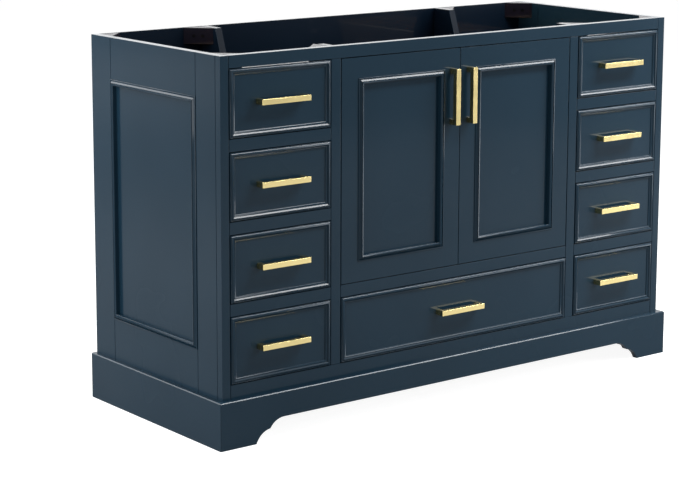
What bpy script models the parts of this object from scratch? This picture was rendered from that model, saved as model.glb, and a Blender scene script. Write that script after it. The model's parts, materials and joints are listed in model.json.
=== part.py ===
"""Bathroom vanity cabinet: a face-frame carcass on a scalloped base, nine drawers and two doors.

Metres, +Z up. The front faces -Y, +X is the longest side. The origin is on the floor, midway between
the two ends and midway between the wall face and the front of the pulls.
"""

import math

import bmesh
import bpy
from mathutils import Matrix, Vector

# Overall sizes: across the base boards, from the base front to the wall, floor to countertop seat.
WIDTH = 1.397
DEPTH = 0.5461
HEIGHT = 0.8763

# Clearances between pieces that touch, and round the inset fronts and doors.
JOINT_GAP = 0.0003
FRONT_GAP = 0.002

# Base boards, standing proud of the body, and the scalloped opening of the front one.
BASE_HEIGHT = 0.110
BASE_BOARD = 0.015
FOOT_LENGTH = 0.097
CUSP_INSET = 0.038
CUSP_RISE = 0.030
ARCH_RISE = 0.051
SCALLOP_RADIUS = 0.045
SCALLOP_STEPS = 7

# Face frame.
FACE_THICKNESS = 0.019
OUTER_STILE = 0.023
MIDDLE_STILE = 0.028
FACE_RAIL = 0.028
BOTTOM_RAIL = 0.0323
FACE_FRAME_FOOT = 0.060
DOOR_OPENING = 0.708
ROWS = 4

# Sides: frame and panel. The widths of the flat members stop at the moulding.
SIDE_THICKNESS = 0.020
SIDE_BACK_STILE = 0.084
SIDE_FRONT_STILE = 0.076
SIDE_TOP_RAIL = 0.097
SIDE_BOTTOM_RAIL = 0.098

# Doors: frame and panel, and the proud moulding round every panel.
DOOR_THICKNESS = 0.020
DOOR_STILE = 0.0475
MOULDING_WIDTH = 0.0145
MOULDING_PROUD = 0.006
PANEL_SET_BACK = 0.006
PANEL_THICKNESS = 0.008
GROOVE_DEPTH = 0.006

# Drawer fronts: a crest all round a flat field.
FRONT_THICKNESS = 0.018
CREST_PROUD = 0.0045
CREST_WIDTH = 0.011
CREST_SLOPE = 0.003
FIELD_DEPTH = 0.0065

# Drawer boxes and what carries them.
BOX_SIDE = 0.012
BOX_BOTTOM = 0.006
BOX_BOTTOM_RAISED = 0.013
BOX_HEIGHT = 0.098
BOX_SIDE_CLEARANCE = 0.006
BOX_FLOOR_CLEARANCE = 0.010
REAR_CLEARANCE = 0.045
RUNNER_WEB = 0.002
RUNNER_SHELF = 0.003
RUNNER_UPSTAND = 0.016
RUNNER_UNDER_BOX = 0.009
RUNNER_CLEARANCE = 0.001
RUNNER_SETBACK = 0.004

# Carcass boards.
BOARD = 0.018
FLOOR_BOARD = 0.016
BACK_PANEL = 0.008
PARTITION_OFFSET = 0.002
WINDOW_WIDTH = 0.500
WINDOW_LOW = 0.440
WINDOW_HIGH = 0.760
PARTITION_BACK_LENGTH = 0.068
PARTITION_FRONT_LENGTH = 0.038
SINK_DEPTH = 0.150
SINK_SLOPE = 20 / 57

# Pulls: a square bar on two square legs, flush at the ends.
PULL_LENGTH = 0.1325
PULL_BAR = 0.0125
PULL_REACH = 0.0245
DOOR_PULL_INSET = 0.026
DOOR_PULL_TOP = 0.8005

# Concealed hinges.
CUP_DIAMETER = 0.035
CUP_DEPTH = 0.0115
CUP_CENTRE_INSET = 0.0225
CUP_SIDES = 24
HINGE_END_DISTANCE = 0.075
HINGE_ARM_LENGTH = 0.060
HINGE_ARM_HEIGHT = 0.022
HINGE_ARM_WIDTH = 0.014
HINGE_ARM_CLEARANCE = 0.004

# Places that follow from the sizes.
BODY_HALF = WIDTH / 2 - BASE_BOARD
TOTAL_DEPTH = DEPTH - BASE_BOARD + PULL_REACH + JOINT_GAP
BACK_Y = TOTAL_DEPTH / 2
FACE_Y = BACK_Y - DEPTH + BASE_BOARD
BASE_FRONT_Y = FACE_Y - BASE_BOARD
CARCASS_Y = FACE_Y + FACE_THICKNESS + JOINT_GAP
BACK_PANEL_Y = BACK_Y - BACK_PANEL
SIDE_INNER = BODY_HALF - SIDE_THICKNESS
DOOR_HALF = DOOR_OPENING / 2
BANK_LOW_X = DOOR_HALF + MIDDLE_STILE
BANK_HIGH_X = BODY_HALF - OUTER_STILE
BANK_CENTRE = (BANK_LOW_X + BANK_HIGH_X) / 2
BANK_WIDTH = BANK_HIGH_X - BANK_LOW_X
PARTITION_X = DOOR_HALF + MIDDLE_STILE / 2 + PARTITION_OFFSET
ROW_FLOOR = BASE_HEIGHT + BOTTOM_RAIL
ROW_HEIGHT = (HEIGHT - ROW_FLOOR - ROWS * FACE_RAIL) / ROWS
ROW_PITCH = ROW_HEIGHT + FACE_RAIL
DOOR_LOW = ROW_FLOOR + ROW_PITCH
DOOR_HIGH = HEIGHT - FACE_RAIL
FRONT_BACK_Y = FACE_Y - CREST_PROUD + FRONT_THICKNESS
BOX_FRONT_Y = FRONT_BACK_Y + JOINT_GAP
BOX_BACK_Y = BACK_PANEL_Y - REAR_CLEARANCE
FLOOR_TOP = BASE_HEIGHT + FLOOR_BOARD
SHELF_TOP = DOOR_LOW
BORE_SLACK = 2 * JOINT_GAP
OVERCUT = 0.010


def make_material(name, colour, roughness, metallic=0.0):
    material = bpy.data.materials.new(name)
    material.use_nodes = True
    shader = material.node_tree.nodes["Principled BSDF"]
    shader.inputs["Base Color"].default_value = (*colour, 1.0)
    shader.inputs["Roughness"].default_value = roughness
    shader.inputs["Metallic"].default_value = metallic
    return material


def clear_scene():
    for obj in list(bpy.data.objects):
        bpy.data.objects.remove(obj, do_unlink=True)


def make_collection(name):
    collection = bpy.data.collections.new(name)
    bpy.context.scene.collection.children.link(collection)
    return collection


clear_scene()
PARTS = make_collection("bathroom_vanity_cabinet")
CUTTERS = make_collection("cutters")
PAINT = make_material("navy_paint", (0.014, 0.027, 0.046), 0.32)
BRASS = make_material("satin_brass", (0.80, 0.67, 0.32), 0.38, 1.0)
STEEL = make_material("zinc_steel", (0.62, 0.63, 0.65), 0.35, 1.0)
BIRCH = make_material("birch", (0.72, 0.55, 0.36), 0.50)


def add_empty(name, place):
    empty = bpy.data.objects.new(name, None)
    empty.location = place
    empty.empty_display_size = 0.05
    PARTS.objects.link(empty)
    return empty


def add_mesh(name, shape, material, place, parent=None, turn=0.0):
    """A bmesh becomes an object at a place in the cabinet, turned about the vertical, under its body."""
    bmesh.ops.recalc_face_normals(shape, faces=shape.faces)
    mesh = bpy.data.meshes.new(name)
    shape.to_mesh(mesh)
    shape.free()
    mesh.materials.append(material)
    obj = bpy.data.objects.new(name, mesh)
    PARTS.objects.link(obj)
    obj.rotation_euler = (0.0, 0.0, turn)
    obj.location = Vector(place)
    if parent:
        obj.parent = parent
        obj.location -= parent.location
    return obj


def add_cutter(target, shape, place, operation="DIFFERENCE"):
    """Cuts a shape out of a piece, or keeps only what lies inside it. The place is in the piece's frame."""
    bmesh.ops.recalc_face_normals(shape, faces=shape.faces)
    name = f"cut_{target.name}_{len(target.modifiers)}"
    mesh = bpy.data.meshes.new(name)
    shape.to_mesh(mesh)
    shape.free()
    cutter = bpy.data.objects.new(name, mesh)
    CUTTERS.objects.link(cutter)
    cutter.parent = target
    cutter.location = place
    cutter.hide_render = True
    cutter.display_type = "WIRE"
    modifier = target.modifiers.new(name, "BOOLEAN")
    modifier.operation = operation
    modifier.solver = "EXACT"
    modifier.object = cutter


def block(low, high):
    """A box between two corners, in a new bmesh."""
    low = Vector(low)
    high = Vector(high)
    shape = bmesh.new()
    bmesh.ops.create_cube(shape, size=1.0)
    size = high - low
    placing = Matrix.Translation((low + high) / 2) @ Matrix.Diagonal((*size, 1.0))
    bmesh.ops.transform(shape, matrix=placing, verts=shape.verts)
    return shape


def facing(shape, direction):
    """The outermost face of a box-like shape that looks along a direction."""
    direction = Vector(direction)
    shape.normal_update()
    looking = [face for face in shape.faces if face.normal.dot(direction) > 0.999]
    return max(looking, key=lambda face: face.calc_center_median().dot(direction))


def outline_plate(points, thickness):
    """A flat outline in XY, given its thickness along Z, as a mesh. The outline is a filled 2D curve."""
    curve = bpy.data.curves.new("outline", "CURVE")
    curve.dimensions = "2D"
    curve.fill_mode = "BOTH"
    curve.extrude = thickness / 2
    spline = curve.splines.new("POLY")
    spline.points.add(len(points) - 1)
    for point, (x, y) in zip(spline.points, points):
        point.co = (x, y, 0.0, 1.0)
    spline.use_cyclic_u = True
    drawn = bpy.data.objects.new("outline", curve)
    bpy.context.scene.collection.objects.link(drawn)
    filled = drawn.evaluated_get(bpy.context.evaluated_depsgraph_get())
    mesh = bpy.data.meshes.new_from_object(filled)
    shape = bmesh.new()
    shape.from_mesh(mesh)
    bmesh.ops.remove_doubles(shape, verts=shape.verts, dist=0.00001)
    bpy.data.objects.remove(drawn, do_unlink=True)
    bpy.data.meshes.remove(mesh)
    return shape


def stand_up(shape):
    """Turns a plate drawn in XY so that its outline stands in XZ and its thickness lies along Y."""
    bmesh.ops.rotate(shape, cent=(0, 0, 0), matrix=Matrix.Rotation(math.pi / 2, 3, "X"), verts=shape.verts)
    return shape


def stand_sideways(shape):
    """Turns a plate drawn in XY so that its outline stands in YZ and its thickness lies along X."""
    swap = Matrix(((0, 0, 1), (1, 0, 0), (0, 1, 0)))
    bmesh.ops.transform(shape, matrix=swap.to_4x4(), verts=shape.verts)
    return shape


def arc(centre, radius, start, end, steps):
    """Points along the shorter arc between two points of a circle, ends included."""
    first = math.atan2(start[1] - centre[1], start[0] - centre[0])
    last = math.atan2(end[1] - centre[1], end[0] - centre[0])
    return [
        (
            centre[0] + radius * math.cos(first + (last - first) * i / steps),
            centre[1] + radius * math.sin(first + (last - first) * i / steps),
        )
        for i in range(steps + 1)
    ]


def scallop():
    """One end of the arch, from the foot's inner corner to where its flat top begins; x grows inwards."""
    foot = (FOOT_LENGTH, 0.0)
    cusp = (FOOT_LENGTH + CUSP_INSET, CUSP_RISE)
    chord = math.hypot(CUSP_INSET, CUSP_RISE)
    sag = math.sqrt(SCALLOP_RADIUS**2 - (chord / 2) ** 2)
    lower_centre = (
        foot[0] + CUSP_INSET / 2 + sag * CUSP_RISE / chord,
        CUSP_RISE / 2 - sag * CUSP_INSET / chord,
    )
    upper_centre_z = ARCH_RISE - SCALLOP_RADIUS
    reach = math.sqrt(SCALLOP_RADIUS**2 - (CUSP_RISE - upper_centre_z) ** 2)
    upper_centre = (cusp[0] + reach, upper_centre_z)
    top = (upper_centre[0], ARCH_RISE)
    lower = arc(lower_centre, SCALLOP_RADIUS, foot, cusp, SCALLOP_STEPS)
    upper = arc(upper_centre, SCALLOP_RADIUS, cusp, top, SCALLOP_STEPS)
    return lower + upper[1:]


def build_base():
    """Three boards round the foot of the cabinet, mitred at the front corners."""
    half = WIDTH / 2
    left_end = [(x - half, z) for x, z in scallop()]
    right_end = [(-x, z) for x, z in reversed(left_end)]
    outline = [(-half, 0.0), *left_end, *right_end, (half, 0.0), (half, BASE_HEIGHT), (-half, BASE_HEIGHT)]
    front = add_mesh(
        "base_front",
        stand_up(outline_plate(outline, BASE_BOARD)),
        PAINT,
        (0.0, BASE_FRONT_Y + BASE_BOARD / 2, 0.0),
    )
    mitre_gap = 2 * JOINT_GAP
    trapezoid = [
        (mitre_gap - half - OVERCUT, -BASE_BOARD / 2 - OVERCUT),
        (half + OVERCUT - mitre_gap, -BASE_BOARD / 2 - OVERCUT),
        (half - BASE_BOARD - OVERCUT - mitre_gap, BASE_BOARD / 2 + OVERCUT),
        (mitre_gap + BASE_BOARD + OVERCUT - half, BASE_BOARD / 2 + OVERCUT),
    ]
    keep = outline_plate(trapezoid, BASE_HEIGHT + 2 * OVERCUT)
    add_cutter(front, keep, (0.0, 0.0, BASE_HEIGHT / 2), "INTERSECT")
    for name, side in (("base_left", -1), ("base_right", 1)):
        board = [
            (side * half, BASE_FRONT_Y),
            (side * (half - BASE_BOARD + JOINT_GAP), BASE_FRONT_Y + BASE_BOARD - JOINT_GAP),
            (side * (half - BASE_BOARD + JOINT_GAP), BACK_Y),
            (side * half, BACK_Y),
        ]
        add_mesh(name, outline_plate(board, BASE_HEIGHT), PAINT, (0.0, 0.0, BASE_HEIGHT / 2))


def build_face_frame():
    frame = add_mesh(
        "face_frame",
        block(
            (-BODY_HALF, FACE_Y + JOINT_GAP, 0.0),
            (BODY_HALF, FACE_Y + FACE_THICKNESS, HEIGHT),
        ),
        PAINT,
        (0.0, 0.0, 0.0),
    )
    front = FACE_Y - OVERCUT
    rear = FACE_Y + FACE_THICKNESS + OVERCUT
    for side in (-1, 1):
        low_x, high_x = sorted((side * BANK_LOW_X, side * BANK_HIGH_X))
        for row in range(ROWS):
            low_z = ROW_FLOOR + row * ROW_PITCH
            add_cutter(frame, block((low_x, front, low_z), (high_x, rear, low_z + ROW_HEIGHT)), (0, 0, 0))
    centre_low = block((-DOOR_HALF, front, ROW_FLOOR), (DOOR_HALF, rear, ROW_FLOOR + ROW_HEIGHT))
    add_cutter(frame, centre_low, (0, 0, 0))
    add_cutter(frame, block((-DOOR_HALF, front, DOOR_LOW), (DOOR_HALF, rear, DOOR_HIGH)), (0, 0, 0))
    foot_inner = BODY_HALF - OUTER_STILE
    under = block((-foot_inner, front, -OVERCUT), (foot_inner, rear, FACE_FRAME_FOOT))
    add_cutter(frame, under, (0, 0, 0))


def framed_panel(name, size, members, thickness, place, turn=0.0, parent=None):
    """A frame with a moulding round its opening, and a panel held loose in a groove.

    The front faces -Y and the frame's lower left front corner is its origin. Members are the flat widths of
    the left stile, right stile, bottom rail and top rail. Returns the frame and the panel.
    """
    width, height = size
    left, right, bottom, top = members
    frame_shape = block((0.0, 0.0, 0.0), (width, thickness, height))
    frame = add_mesh(f"{name}_frame", frame_shape, PAINT, place, parent, turn)
    inner_low = (left + MOULDING_WIDTH, bottom + MOULDING_WIDTH)
    inner_high = (width - right - MOULDING_WIDTH, height - top - MOULDING_WIDTH)
    moulding = block(
        (left, -MOULDING_PROUD, bottom),
        (width - right, thickness / 2, height - top),
    )
    add_cutter(frame, moulding, (0, 0, 0), "UNION")
    opening = block(
        (inner_low[0], -MOULDING_PROUD - OVERCUT, inner_low[1]),
        (inner_high[0], thickness + OVERCUT, inner_high[1]),
    )
    add_cutter(frame, opening, (0, 0, 0))
    groove = block(
        (inner_low[0] - GROOVE_DEPTH, PANEL_SET_BACK - JOINT_GAP, inner_low[1] - GROOVE_DEPTH),
        (
            inner_high[0] + GROOVE_DEPTH,
            PANEL_SET_BACK + PANEL_THICKNESS + JOINT_GAP,
            inner_high[1] + GROOVE_DEPTH,
        ),
    )
    add_cutter(frame, groove, (0, 0, 0))
    slip = GROOVE_DEPTH - 2 * JOINT_GAP
    panel_shape = block(
        (inner_low[0] - slip, PANEL_SET_BACK, inner_low[1] - slip),
        (inner_high[0] + slip, PANEL_SET_BACK + PANEL_THICKNESS, inner_high[1] + slip),
    )
    panel = add_mesh(f"{name}_panel", panel_shape, PAINT, place, parent, turn)
    return frame, panel


def build_sides():
    """Each side runs to the floor behind its base board."""
    length = BACK_Y - CARCASS_Y
    bottom = BASE_HEIGHT + SIDE_BOTTOM_RAIL
    framed_panel(
        "left_side",
        (length, HEIGHT),
        (SIDE_BACK_STILE, SIDE_FRONT_STILE, bottom, SIDE_TOP_RAIL),
        SIDE_THICKNESS,
        (-BODY_HALF, BACK_Y, 0.0),
        turn=-math.pi / 2,
    )
    framed_panel(
        "right_side",
        (length, HEIGHT),
        (SIDE_FRONT_STILE, SIDE_BACK_STILE, bottom, SIDE_TOP_RAIL),
        SIDE_THICKNESS,
        (BODY_HALF, CARCASS_Y, 0.0),
        turn=math.pi / 2,
    )


def build_carcass():
    inner = SIDE_INNER - JOINT_GAP
    add_mesh(
        "cabinet_floor",
        block((-inner, CARCASS_Y, BASE_HEIGHT), (inner, BACK_PANEL_Y - JOINT_GAP, FLOOR_TOP)),
        PAINT,
        (0, 0, 0),
    )
    back = add_mesh(
        "back_panel",
        block((-inner, BACK_PANEL_Y, BASE_HEIGHT), (inner, BACK_Y, HEIGHT)),
        PAINT,
        (0, 0, 0),
    )
    window = block(
        (-WINDOW_WIDTH / 2, BACK_PANEL_Y - OVERCUT, WINDOW_LOW),
        (WINDOW_WIDTH / 2, BACK_Y + OVERCUT, WINDOW_HIGH),
    )
    add_cutter(back, window, (0, 0, 0))

    front_y = CARCASS_Y
    rear_y = BACK_PANEL_Y - JOINT_GAP
    slope = SINK_DEPTH * SINK_SLOPE
    outline = [
        (front_y, FLOOR_TOP + JOINT_GAP),
        (rear_y, FLOOR_TOP + JOINT_GAP),
        (rear_y, HEIGHT),
        (BACK_Y - PARTITION_BACK_LENGTH, HEIGHT),
        (BACK_Y - PARTITION_BACK_LENGTH - slope, HEIGHT - SINK_DEPTH),
        (front_y + PARTITION_FRONT_LENGTH + slope, HEIGHT - SINK_DEPTH),
        (front_y + PARTITION_FRONT_LENGTH, HEIGHT),
        (front_y, HEIGHT),
    ]
    for name, side in (("left_partition", -1), ("right_partition", 1)):
        partition = stand_sideways(outline_plate(outline, BOARD))
        add_mesh(name, partition, PAINT, (side * PARTITION_X, 0, 0))
    shelf_half = PARTITION_X - BOARD / 2 - JOINT_GAP
    add_mesh(
        "center_shelf",
        block((-shelf_half, CARCASS_Y, SHELF_TOP - FLOOR_BOARD), (shelf_half, rear_y, SHELF_TOP)),
        PAINT,
        (0, 0, 0),
    )


def runner_comb(wall, box_side, floors):
    """The runners of one wall as one folded piece: a web on the wall, and a shelf under each box's edge."""
    direction = 1 if box_side > wall else -1
    web_x = wall + direction * RUNNER_WEB
    shelf_x = box_side + direction * RUNNER_UNDER_BOX
    lowest = floors[0] - RUNNER_CLEARANCE - RUNNER_SHELF
    highest = floors[-1] + RUNNER_UPSTAND
    outline = [(wall, lowest), (shelf_x, lowest)]
    for number, floor in enumerate(floors):
        top = floor - RUNNER_CLEARANCE
        if number:
            outline += [(web_x, top - RUNNER_SHELF), (shelf_x, top - RUNNER_SHELF)]
        outline += [(shelf_x, top), (web_x, top)]
    outline += [(web_x, highest), (wall, highest)]
    length = BOX_BACK_Y - CARCASS_Y - RUNNER_SETBACK
    shape = stand_up(outline_plate(outline, length))
    bmesh.ops.translate(shape, vec=(0, CARCASS_Y + RUNNER_SETBACK + length / 2, 0), verts=shape.verts)
    return shape


def build_runners():
    floors = [ROW_FLOOR + row * ROW_PITCH + BOX_FLOOR_CLEARANCE for row in range(ROWS)]
    for word, side in (("left", -1), ("right", 1)):
        outer_wall = side * (SIDE_INNER - JOINT_GAP)
        outer_box = side * (BANK_HIGH_X - BOX_SIDE_CLEARANCE)
        inner_wall = side * (PARTITION_X + BOARD / 2 + JOINT_GAP)
        inner_box = side * (BANK_LOW_X + BOX_SIDE_CLEARANCE)
        add_mesh(f"runners_{word}_outer", runner_comb(outer_wall, outer_box, floors), STEEL, (0, 0, 0))
        add_mesh(f"runners_{word}_inner", runner_comb(inner_wall, inner_box, floors), STEEL, (0, 0, 0))
        centre_wall = side * (PARTITION_X - BOARD / 2 - JOINT_GAP)
        centre_box = side * (DOOR_HALF - BOX_SIDE_CLEARANCE)
        centre = runner_comb(centre_wall, centre_box, floors[:1])
        add_mesh(f"runner_center_{word}", centre, STEEL, (0, 0, 0))


def pull_shape(upright):
    """A square bar with a square leg flush at each end; its feet are at y = 0."""
    half = PULL_LENGTH / 2
    inner = half - PULL_BAR
    outline = [
        (-half, 0.0),
        (-half, -PULL_REACH),
        (half, -PULL_REACH),
        (half, 0.0),
        (inner, 0.0),
        (inner, PULL_BAR - PULL_REACH),
        (-inner, PULL_BAR - PULL_REACH),
        (-inner, 0.0),
    ]
    shape = outline_plate(outline, PULL_BAR)
    if upright:
        turn = Matrix.Rotation(math.pi / 2, 3, "Y")
        bmesh.ops.rotate(shape, cent=(0, 0, 0), matrix=turn, verts=shape.verts)
    return shape


def drawer_front(width, height):
    """A slab whose crest stands round a lower flat field; the shape is centred on its back face."""
    shape = block((-width / 2, -FRONT_THICKNESS, -height / 2), (width / 2, 0.0, height / 2))
    field = facing(shape, (0, -1, 0))
    bmesh.ops.inset_region(shape, faces=[field], thickness=CREST_WIDTH)
    bmesh.ops.inset_region(shape, faces=[field], thickness=CREST_SLOPE, depth=-FIELD_DEPTH)
    return shape


def drawer_box(width, length):
    """An open box on a raised bottom, centred on the middle of its front face's lower edge."""
    shape = block((-width / 2, 0.0, 0.0), (width / 2, length, BOX_HEIGHT))
    depths = {(0, 0, 1): BOX_HEIGHT - BOX_BOTTOM_RAISED - BOX_BOTTOM, (0, 0, -1): BOX_BOTTOM_RAISED}
    for direction, depth in depths.items():
        mouth = facing(shape, direction)
        bmesh.ops.inset_region(shape, faces=[mouth], thickness=BOX_SIDE)
        grown = bmesh.ops.extrude_discrete_faces(shape, faces=[mouth])
        inward = -Vector(direction) * depth
        bmesh.ops.translate(shape, vec=inward, verts=grown["faces"][0].verts)
    bmesh.ops.remove_doubles(shape, verts=shape.verts, dist=0.00001)
    return shape


def build_drawer(name, centre_x, opening_width, low_z):
    """A drawer in its opening: front, box and pull on one sliding body."""
    centre_z = low_z + ROW_HEIGHT / 2
    slide = add_empty(f"{name}_slide", (centre_x, FRONT_BACK_Y, centre_z))
    front = drawer_front(opening_width - 2 * FRONT_GAP, ROW_HEIGHT - 2 * FRONT_GAP)
    add_mesh(f"{name}_front", front, PAINT, (centre_x, FRONT_BACK_Y, centre_z), slide)
    box = drawer_box(opening_width - 2 * BOX_SIDE_CLEARANCE, BOX_BACK_Y - BOX_FRONT_Y)
    add_mesh(f"{name}_box", box, BIRCH, (centre_x, BOX_FRONT_Y, low_z + BOX_FLOOR_CLEARANCE), slide)
    foot_y = FACE_Y - CREST_PROUD + FIELD_DEPTH - JOINT_GAP
    add_mesh(f"{name}_pull", pull_shape(upright=False), BRASS, (centre_x, foot_y, centre_z), slide)


def build_drawers():
    for word, side in (("left", -1), ("right", 1)):
        for row in range(ROWS):
            low_z = ROW_FLOOR + (ROWS - 1 - row) * ROW_PITCH
            build_drawer(f"{word}_drawer_{row + 1}", side * BANK_CENTRE, BANK_WIDTH, low_z)
    build_drawer("center_drawer", 0.0, DOOR_OPENING, ROW_FLOOR)


def build_door(name, side):
    """A door with its moulded frame, panel, pull and two hinge cups, on an empty on the hinge axis."""
    width = DOOR_HALF - FRONT_GAP / 2 - FRONT_GAP
    height = DOOR_HIGH - DOOR_LOW - 2 * FRONT_GAP
    axis = add_empty(f"{name}_axis", (side * (DOOR_HALF - FRONT_GAP / 2), FACE_Y, DOOR_LOW))
    low_x = min(side * FRONT_GAP / 2, side * (FRONT_GAP / 2 + width))
    low_z = DOOR_LOW + FRONT_GAP
    frame, _ = framed_panel(
        name,
        (width, height),
        (DOOR_STILE, DOOR_STILE, DOOR_STILE, DOOR_STILE),
        DOOR_THICKNESS,
        (low_x, FACE_Y, low_z),
        parent=axis,
    )
    pull_x = side * DOOR_PULL_INSET
    pull_place = (pull_x, FACE_Y - JOINT_GAP, DOOR_PULL_TOP - PULL_LENGTH / 2)
    add_mesh(f"{name}_pull", pull_shape(upright=True), BRASS, pull_place, axis)

    cup_x = side * (FRONT_GAP / 2 + width - CUP_CENTRE_INSET)
    partition_face = PARTITION_X - BOARD / 2 - JOINT_GAP
    lay_down = Matrix.Rotation(math.pi / 2, 3, "X")
    for word, cup_z in (("lower", DOOR_LOW + HINGE_END_DISTANCE), ("upper", DOOR_HIGH - HINGE_END_DISTANCE)):
        bore = bmesh.new()
        bore_depth = CUP_DEPTH + OVERCUT
        bore_radius = CUP_DIAMETER / 2 + BORE_SLACK
        bmesh.ops.create_cone(
            bore,
            cap_ends=True,
            segments=CUP_SIDES,
            radius1=bore_radius,
            radius2=bore_radius,
            depth=bore_depth,
        )
        bmesh.ops.rotate(bore, cent=(0, 0, 0), matrix=lay_down, verts=bore.verts)
        bore_y = DOOR_THICKNESS - CUP_DEPTH + bore_depth / 2
        add_cutter(frame, bore, (cup_x - low_x, bore_y, cup_z - low_z))
        cup = bmesh.new()
        cup_depth = CUP_DEPTH - JOINT_GAP
        bmesh.ops.create_cone(
            cup,
            cap_ends=True,
            segments=CUP_SIDES,
            radius1=CUP_DIAMETER / 2,
            radius2=CUP_DIAMETER / 2,
            depth=cup_depth,
        )
        bmesh.ops.rotate(cup, cent=(0, 0, 0), matrix=lay_down, verts=cup.verts)
        cup_y = FACE_Y + DOOR_THICKNESS - cup_depth / 2
        add_mesh(f"{name}_{word}_hinge_cup", cup, STEEL, (cup_x, cup_y, cup_z), axis)
        arm_front = FACE_Y + DOOR_THICKNESS + HINGE_ARM_CLEARANCE
        arm = block(
            (0.0, arm_front, -HINGE_ARM_HEIGHT / 2),
            (HINGE_ARM_WIDTH, arm_front + HINGE_ARM_LENGTH, HINGE_ARM_HEIGHT / 2),
        )
        arm_low = min(side * partition_face, side * (partition_face - HINGE_ARM_WIDTH))
        add_mesh(f"{name}_{word}_hinge_arm", arm, STEEL, (arm_low, 0.0, cup_z))


build_base()
build_face_frame()
build_sides()
build_carcass()
build_runners()
build_drawers()
build_door("left_door", -1)
build_door("right_door", 1)
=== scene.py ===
import json
import math

import bpy
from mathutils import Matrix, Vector

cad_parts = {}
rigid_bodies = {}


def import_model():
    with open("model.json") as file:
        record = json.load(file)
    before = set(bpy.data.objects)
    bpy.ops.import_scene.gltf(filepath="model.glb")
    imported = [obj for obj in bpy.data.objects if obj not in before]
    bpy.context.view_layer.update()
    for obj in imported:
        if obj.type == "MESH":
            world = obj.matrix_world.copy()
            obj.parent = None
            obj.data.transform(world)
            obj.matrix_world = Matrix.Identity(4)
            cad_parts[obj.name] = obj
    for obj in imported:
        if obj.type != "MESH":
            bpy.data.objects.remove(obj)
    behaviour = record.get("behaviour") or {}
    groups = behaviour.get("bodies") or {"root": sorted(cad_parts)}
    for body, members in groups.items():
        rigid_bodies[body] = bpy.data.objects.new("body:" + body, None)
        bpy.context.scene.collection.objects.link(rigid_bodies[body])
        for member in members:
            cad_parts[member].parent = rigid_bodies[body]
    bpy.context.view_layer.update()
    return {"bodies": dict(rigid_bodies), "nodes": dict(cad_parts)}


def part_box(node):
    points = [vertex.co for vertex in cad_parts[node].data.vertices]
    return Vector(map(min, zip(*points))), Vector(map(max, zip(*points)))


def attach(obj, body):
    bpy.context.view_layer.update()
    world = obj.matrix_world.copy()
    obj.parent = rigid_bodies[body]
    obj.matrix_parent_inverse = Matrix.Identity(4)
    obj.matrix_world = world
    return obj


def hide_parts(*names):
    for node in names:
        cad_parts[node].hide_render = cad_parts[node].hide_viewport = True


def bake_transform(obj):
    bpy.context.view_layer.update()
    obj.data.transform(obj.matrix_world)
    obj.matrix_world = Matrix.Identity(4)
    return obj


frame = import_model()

# Shared sizes of the joinery, in metres.
FRONT_GAP = 0.002          # round every inset drawer front and door
RAIL = 0.028               # width of the face frame's rails
SEAM = 0.0006              # half of the open line between two butted boards
EASE = 0.0007              # rounding of a board's edges
SHEET_EASE = 0.0003        # rounding of a thin steel edge
FLAT_FACE_TURN = math.radians(35)
COPLANAR_TURN = math.radians(0.5)
FACING = 0.99              # cosine within which a face looks a given way
WELD = 0.00002             # vertices nearer than this are one
LEAST_INSET = 0.00001

PAINT_SLOT = "navy_paint"
BRASS_SLOT = "satin_brass"
STEEL_SLOT = "zinc_steel"
BIRCH_SLOT = "birch"

face_low, face_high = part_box("face_frame")
FACE_Y = face_low.y
FACE_BACK_Y = face_high.y
BODY_HALF = face_high.x
TOP_Z = face_high.z
BASE_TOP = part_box("base_left")[1].z


# ---------------------------------------------------------------- materials


class Field:
    """A value or colour that varies over a surface; arithmetic on it adds Math nodes."""

    def __init__(self, finish, socket):
        self.finish = finish
        self.socket = socket

    def math(self, operation, first, second):
        return self.finish.node("ShaderNodeMath", {"operation": operation}, {0: first, 1: second})

    def __add__(self, other):
        return self.math("ADD", self, other)

    def __mul__(self, other):
        return self.math("MULTIPLY", self, other)


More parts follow.
